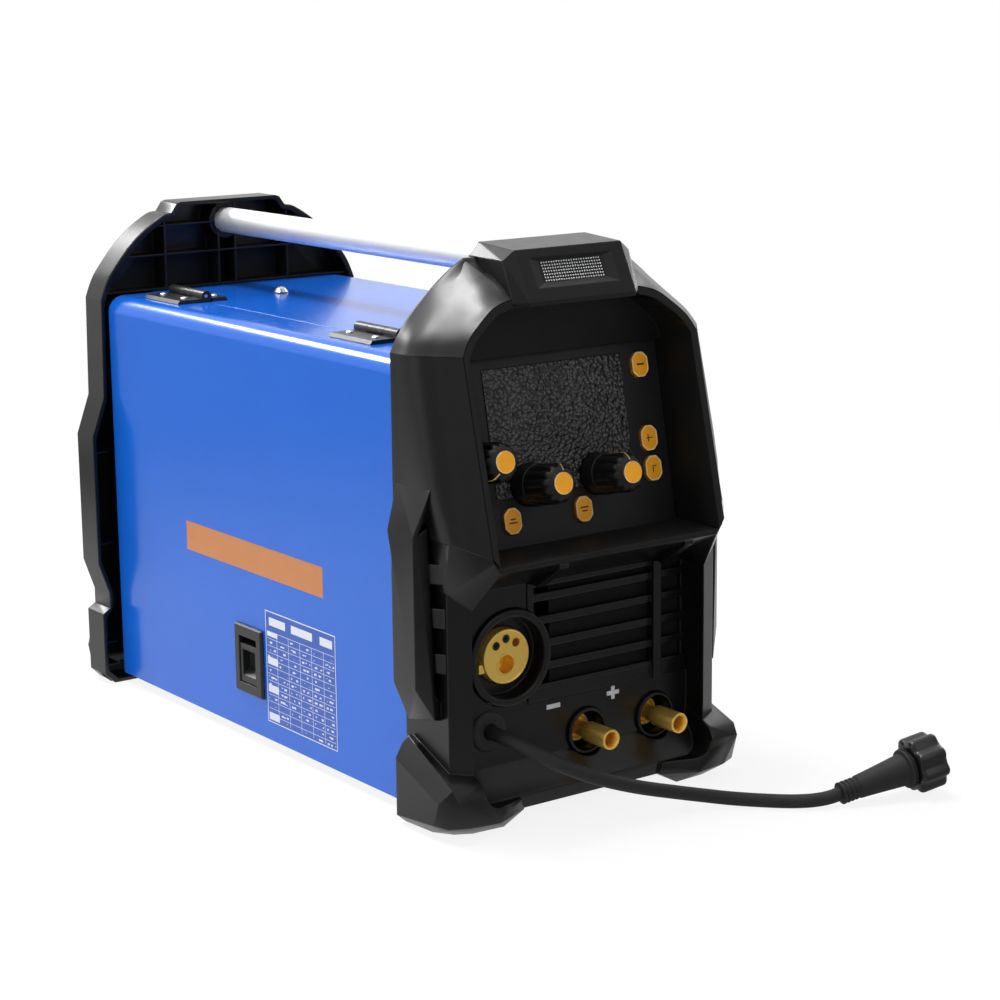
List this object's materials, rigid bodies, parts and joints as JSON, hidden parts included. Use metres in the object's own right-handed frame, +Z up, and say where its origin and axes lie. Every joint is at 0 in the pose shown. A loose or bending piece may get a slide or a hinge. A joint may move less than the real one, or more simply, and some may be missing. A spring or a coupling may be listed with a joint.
{
  "type": "mig welding machine",
  "caption": "Portable wire-feed welder: sheet case with hinged side door, moulded end bezels, carry tube, sloping control panel, torch and output sockets, and a changeover lead.",
  "frame": {"origin": "on the floor, under the middle of the machine without its changeover lead", "axes": "+Z up, the control panel faces -Y, +X is to the right of someone facing the control panel; the access door is on the -X side"},
  "size_m": [0.3337, 0.6469, 0.3775],
  "materials": {
    "blue_paint": "glossy blue powder coat",
    "black_moulding": "satin black moulding",
    "knob_plastic": "smooth black plastic",
    "dark_film": "dark window film",
    "orange_button": "moulded orange",
    "satin_tube": "satin metal tube",
    "zinc_sheet": "zinc plated",
    "roll_steel": "ground and hardened",
    "black_zinc": "black plated",
    "brass": "turned brass",
    "black_rubber": "matt black rubber",
    "circuit_board": "lacquered board with parts",
    "cast_aluminium": "bare",
    "copper_wire": "copper coated steel wire",
    "grey_plastic": "moulded"
  },
  "bodies": {
    "machine": {"base_plate": "zinc_sheet", "fixed_cover": "blue_paint", "divider_wall": "zinc_sheet", "front_bezel": "black_moulding", "rear_bezel": "black_moulding", "front_cap": "black_moulding", "carry_tube": "satin_tube", "roof_screw": "zinc_sheet", "front_hinge_fixed_leaf": "black_zinc", "front_hinge_pin": "black_zinc", "rear_hinge_fixed_leaf": "black_zinc", "rear_hinge_pin": "black_zinc", "latch_keeper": "zinc_sheet", "control_fascia": "black_moulding", "display_window": "dark_film", "control_board": "circuit_board", "front_grille": "black_moulding", "grille_screen": "knob_plastic", "torch_socket_ring": "black_moulding", "torch_socket_brass": "brass", "minus_socket_ring": "black_moulding", "minus_socket_tube": "brass", "plus_socket_ring": "black_moulding", "plus_socket_tube": "brass", "cord_grommet": "black_rubber", "changeover_lead": "black_rubber", "plug_body": "black_rubber", "fan_frame": "grey_plastic", "switch_housing": "black_moulding", "mains_gland": "black_rubber", "gas_inlet": "brass", "spool_hub": "grey_plastic", "spool_nut": "grey_plastic", "feed_plate": "cast_aluminium", "gear_motor": "zinc_sheet", "heat_sink": "cast_aluminium", "inverter_board": "circuit_board", "output_choke": "black_zinc"},
    "door": {"side_door": "blue_paint", "front_hinge_door_leaf": "black_zinc", "rear_hinge_door_leaf": "black_zinc", "latch_frame": "black_moulding"},
    "latch": {"latch_slider": "black_moulding"},
    "wire_speed": {"wire_speed_knob": "knob_plastic"},
    "voltage": {"voltage_knob": "knob_plastic"},
    "inductance": {"inductance_knob": "knob_plastic"},
    "mode": {"mode_button": "orange_button"},
    "inch": {"inch_button": "orange_button"},
    "purge": {"purge_button": "orange_button"},
    "wire_size": {"wire_size_button": "orange_button"},
    "material": {"material_button": "orange_button"},
    "rocker": {"switch_rocker": "knob_plastic"},
    "fan": {"fan_rotor": "grey_plastic"},
    "spool": {"wire_spool": "knob_plastic", "wound_wire": "copper_wire"},
    "lower_roll": {"drive_roll": "roll_steel"},
    "arm": {"pressure_arm": "cast_aluminium"},
    "upper_roll": {"press_roll": "roll_steel"},
    "tension": {"tension_knob": "knob_plastic"},
    "plug_lock": {"plug_ring": "knob_plastic"}
  },
  "joints": [
    {"name": "door_hinge", "type": "hinge", "parent": "machine", "child": "door", "pos_m": [-0.068, 0, 0.312], "axis": [0, 1, 0], "range_deg": [0, 105]},
    {"name": "latch_slide", "type": "slide", "parent": "door", "child": "latch", "axis": [0, 0, 1], "range_m": [0, 0.005], "stiffness_N_per_m": 200, "springref_m": -0.002},
    {"name": "wire_speed_turn", "type": "hinge", "parent": "machine", "child": "wire_speed", "pos_m": [-0.075, -0.21084, 0.238], "axis": [0, -0.9813, 0.1923], "range_deg": [-300, 0]},
    {"name": "voltage_turn", "type": "hinge", "parent": "machine", "child": "voltage", "pos_m": [-0.0314, -0.21452, 0.2192], "axis": [0, -0.9813, 0.1923], "range_deg": [-150, 150]},
    {"name": "inductance_turn", "type": "hinge", "parent": "machine", "child": "inductance", "pos_m": [0.026, -0.21452, 0.2192], "axis": [0, -0.9813, 0.1923], "range_deg": [-150, 150]},
    {"name": "mode_press", "type": "slide", "parent": "machine", "child": "mode", "axis": [0, 0.9813, -0.1923], "range_m": [0, 0.001], "stiffness_N_per_m": 400, "springref_m": -0.001},
    {"name": "inch_press", "type": "slide", "parent": "machine", "child": "inch", "axis": [0, 0.9813, -0.1923], "range_m": [0, 0.001], "stiffness_N_per_m": 400, "springref_m": -0.001},
    {"name": "purge_press", "type": "slide", "parent": "machine", "child": "purge", "axis": [0, 0.9813, -0.1923], "range_m": [0, 0.001], "stiffness_N_per_m": 400, "springref_m": -0.001},
    {"name": "wire_size_press", "type": "slide", "parent": "machine", "child": "wire_size", "axis": [0, 0.9813, -0.1923], "range_m": [0, 0.001], "stiffness_N_per_m": 400, "springref_m": -0.001},
    {"name": "material_press", "type": "slide", "parent": "machine", "child": "material", "axis": [0, 0.9813, -0.1923], "range_m": [0, 0.001], "stiffness_N_per_m": 400, "springref_m": -0.001},
    {"name": "rocker_tilt", "type": "hinge", "parent": "machine", "child": "rocker", "pos_m": [0.052, 0.2455, 0.262], "axis": [1, 0, 0], "range_deg": [0, 14]},
    {"name": "fan_spin", "type": "hinge", "parent": "machine", "child": "fan", "pos_m": [0.052, 0.229, 0.165], "axis": [0, 1, 0], "continuous": true},
    {"name": "spool_spin", "type": "hinge", "parent": "machine", "child": "spool", "pos_m": [-0.0435, 0.101, 0.15], "axis": [1, 0, 0], "continuous": true},
    {"name": "drive_roll_spin", "type": "hinge", "parent": "machine", "child": "lower_roll", "pos_m": [-0.055, -0.075, 0.0926], "axis": [1, 0, 0], "continuous": true},
    {"name": "pressure_arm_lift", "type": "hinge", "parent": "machine", "child": "arm", "pos_m": [-0.046, -0.037, 0.139], "axis": [-1, 0, 0], "range_deg": [0, 55]},
    {"name": "press_roll_spin", "type": "hinge", "parent": "arm", "child": "upper_roll", "pos_m": [-0.055, -0.075, 0.1224], "axis": [1, 0, 0], "continuous": true},
    {"name": "tension_turn", "type": "hinge", "parent": "arm", "child": "tension", "pos_m": [-0.048, -0.108, 0.1454], "axis": [0, 0, 1], "range_deg": [-360, 360]},
    {"name": "plug_lock_turn", "type": "hinge", "parent": "machine", "child": "plug_lock", "pos_m": [0.19052, -0.36205, 0.02173], "axis": [0.9557, -0.2173, 0.1988], "range_deg": [0, 90]}
  ],
  "couplings": [
    {"joint": "press_roll_spin", "follows": "drive_roll_spin", "ratio": -1.0714}
  ]
}
